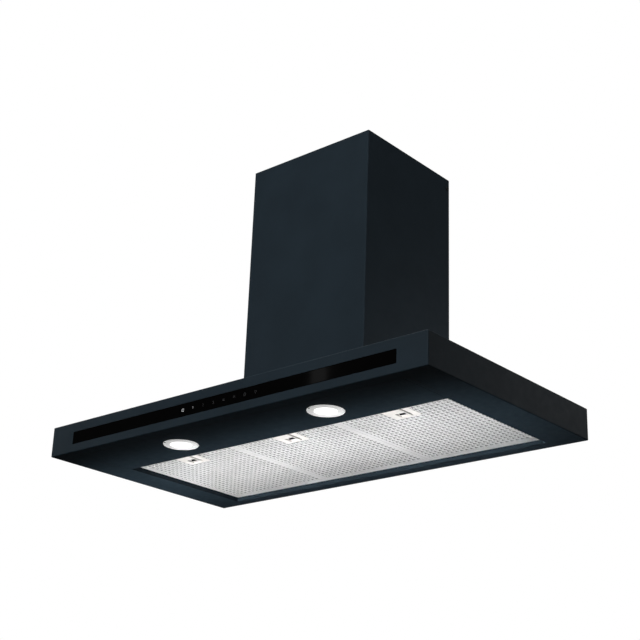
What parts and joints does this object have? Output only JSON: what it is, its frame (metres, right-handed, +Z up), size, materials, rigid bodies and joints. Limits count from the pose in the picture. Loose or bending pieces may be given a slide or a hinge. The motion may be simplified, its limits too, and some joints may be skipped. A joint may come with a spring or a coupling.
{
  "type": "wall-mounted range hood",
  "caption": "Wall-mounted chimney range hood with a slab canopy, touch control strip, round lamps, tilting latched grease filters, centrifugal blower and telescopic chimney.",
  "frame": {"origin": "middle of the canopy's rear bottom edge, on the wall plane", "axes": "+X to the right seen from the front, +Y into the wall, +Z up"},
  "size_m": [0.9, 0.475, 0.6111],
  "materials": {
    "canopy_paint": "satin slate-black powder coat",
    "chimney_paint": "satin slate-black powder coat",
    "panel_paint": "satin slate-black powder coat",
    "black_glass": "polished back-painted black glass",
    "lamp_bezel": "bright satin bezel",
    "lamp_diffuser": "frosted light diffuser",
    "cast_aluminium": "bead-blasted casting",
    "filter_aluminium": "bright rolled sheet",
    "filter_mesh": "layered expanded mesh",
    "latch_plastic": "light grey moulding",
    "latch_slide_plastic": "warm grey moulding",
    "spring_steel": "drawn spring steel",
    "galvanised": "spangled galvanised sheet",
    "black_plastic": "black moulding",
    "grey_plastic": "grey moulding",
    "white_plastic": "white moulding",
    "circuit_board": "green solder mask",
    "motor_steel": "black enamel over laminations",
    "shaft_steel": "ground steel",
    "capacitor_can": "drawn can",
    "lead_sheath": "matt sheath",
    "dark_screw": "blackened screw"
  },
  "bodies": {
    "root": {"blower_box": "galvanised", "blower_box_front": "galvanised", "cable_gland": "black_plastic", "canopy_back": "galvanised", "canopy_shell": "canopy_paint", "capacitor": "capacitor_can", "chimney_guides": "galvanised", "chimney_lower": "chimney_paint", "chimney_lower_bracket": "galvanised", "control_cover": "grey_plastic", "control_glass": "black_glass", "control_tray": "grey_plastic", "duct_collar": "black_plastic", "inlet_guards": "spring_steel", "lamp_boards": "circuit_board", "lamp_clips": "spring_steel", "lamp_leads": "lead_sheath", "lamp_left_body": "cast_aluminium", "lamp_left_lens": "lamp_diffuser", "lamp_left_ring": "lamp_bezel", "lamp_right_body": "cast_aluminium", "lamp_right_lens": "lamp_diffuser", "lamp_right_ring": "lamp_bezel", "led_driver": "white_plastic", "light_panel": "panel_paint", "main_board": "circuit_board", "motor": "motor_steel", "motor_lead": "lead_sheath", "motor_mount": "galvanised", "scroll_left": "black_plastic", "scroll_right": "black_plastic", "service_divider": "galvanised", "sheet_screws": "dark_screw", "terminal_block": "white_plastic", "touch_board": "circuit_board", "touch_carrier": "black_plastic"},
    "filter_left": {"filter_left_frame": "filter_aluminium", "filter_left_grille": "filter_aluminium", "filter_left_latch_case": "latch_plastic", "filter_left_latch_spring": "spring_steel", "filter_left_mesh": "filter_mesh"},
    "latch_left": {"filter_left_latch_slide": "latch_slide_plastic"},
    "filter_middle": {"filter_middle_frame": "filter_aluminium", "filter_middle_grille": "filter_aluminium", "filter_middle_latch_case": "latch_plastic", "filter_middle_latch_spring": "spring_steel", "filter_middle_mesh": "filter_mesh"},
    "latch_middle": {"filter_middle_latch_slide": "latch_slide_plastic"},
    "filter_right": {"filter_right_frame": "filter_aluminium", "filter_right_grille": "filter_aluminium", "filter_right_latch_case": "latch_plastic", "filter_right_latch_spring": "spring_steel", "filter_right_mesh": "filter_mesh"},
    "latch_right": {"filter_right_latch_slide": "latch_slide_plastic"},
    "fan": {"impeller": "grey_plastic", "motor_shaft": "shaft_steel"},
    "front_flap": {"flap_front": "grey_plastic"},
    "rear_flap": {"flap_rear": "grey_plastic"},
    "upper_chimney": {"chimney_upper": "chimney_paint", "chimney_upper_bracket": "galvanised"}
  },
  "joints": [
    {"name": "filter_left_tilt", "type": "hinge", "parent": "root", "child": "filter_left", "pos_m": [0, -0.029, 0.0115], "axis": [1, 0, 0], "range_deg": [0, 60]},
    {"name": "latch_left_slide", "type": "slide", "parent": "filter_left", "child": "latch_left", "axis": [0, 1, 0], "range_m": [0, 0.006], "stiffness_N_per_m": 300, "springref_m": -0.005, "deforming": ["filter_left_latch_spring"]},
    {"name": "filter_middle_tilt", "type": "hinge", "parent": "root", "child": "filter_middle", "pos_m": [0, -0.029, 0.0115], "axis": [1, 0, 0], "range_deg": [0, 60]},
    {"name": "latch_middle_slide", "type": "slide", "parent": "filter_middle", "child": "latch_middle", "axis": [0, 1, 0], "range_m": [0, 0.006], "stiffness_N_per_m": 300, "springref_m": -0.005, "deforming": ["filter_middle_latch_spring"]},
    {"name": "filter_right_tilt", "type": "hinge", "parent": "root", "child": "filter_right", "pos_m": [0, -0.029, 0.0115], "axis": [1, 0, 0], "range_deg": [0, 60]},
    {"name": "latch_right_slide", "type": "slide", "parent": "filter_right", "child": "latch_right", "axis": [0, 1, 0], "range_m": [0, 0.006], "stiffness_N_per_m": 300, "springref_m": -0.005, "deforming": ["filter_right_latch_spring"]},
    {"name": "fan_spin", "type": "hinge", "parent": "root", "child": "fan", "pos_m": [0, -0.138, 0.178], "axis": [1, 0, 0], "continuous": true},
    {"name": "front_flap_lift", "type": "hinge", "parent": "root", "child": "front_flap", "pos_m": [0, -0.1074, 0.3465], "axis": [-1, 0, 0], "range_deg": [0, 75]},
    {"name": "rear_flap_lift", "type": "hinge", "parent": "root", "child": "rear_flap", "pos_m": [0, -0.1026, 0.3465], "axis": [1, 0, 0], "range_deg": [0, 75]},
    {"name": "chimney_extend", "type": "slide", "parent": "root", "child": "upper_chimney", "axis": [0, 0, 1], "range_m": [0, 0.3]}
  ]
}
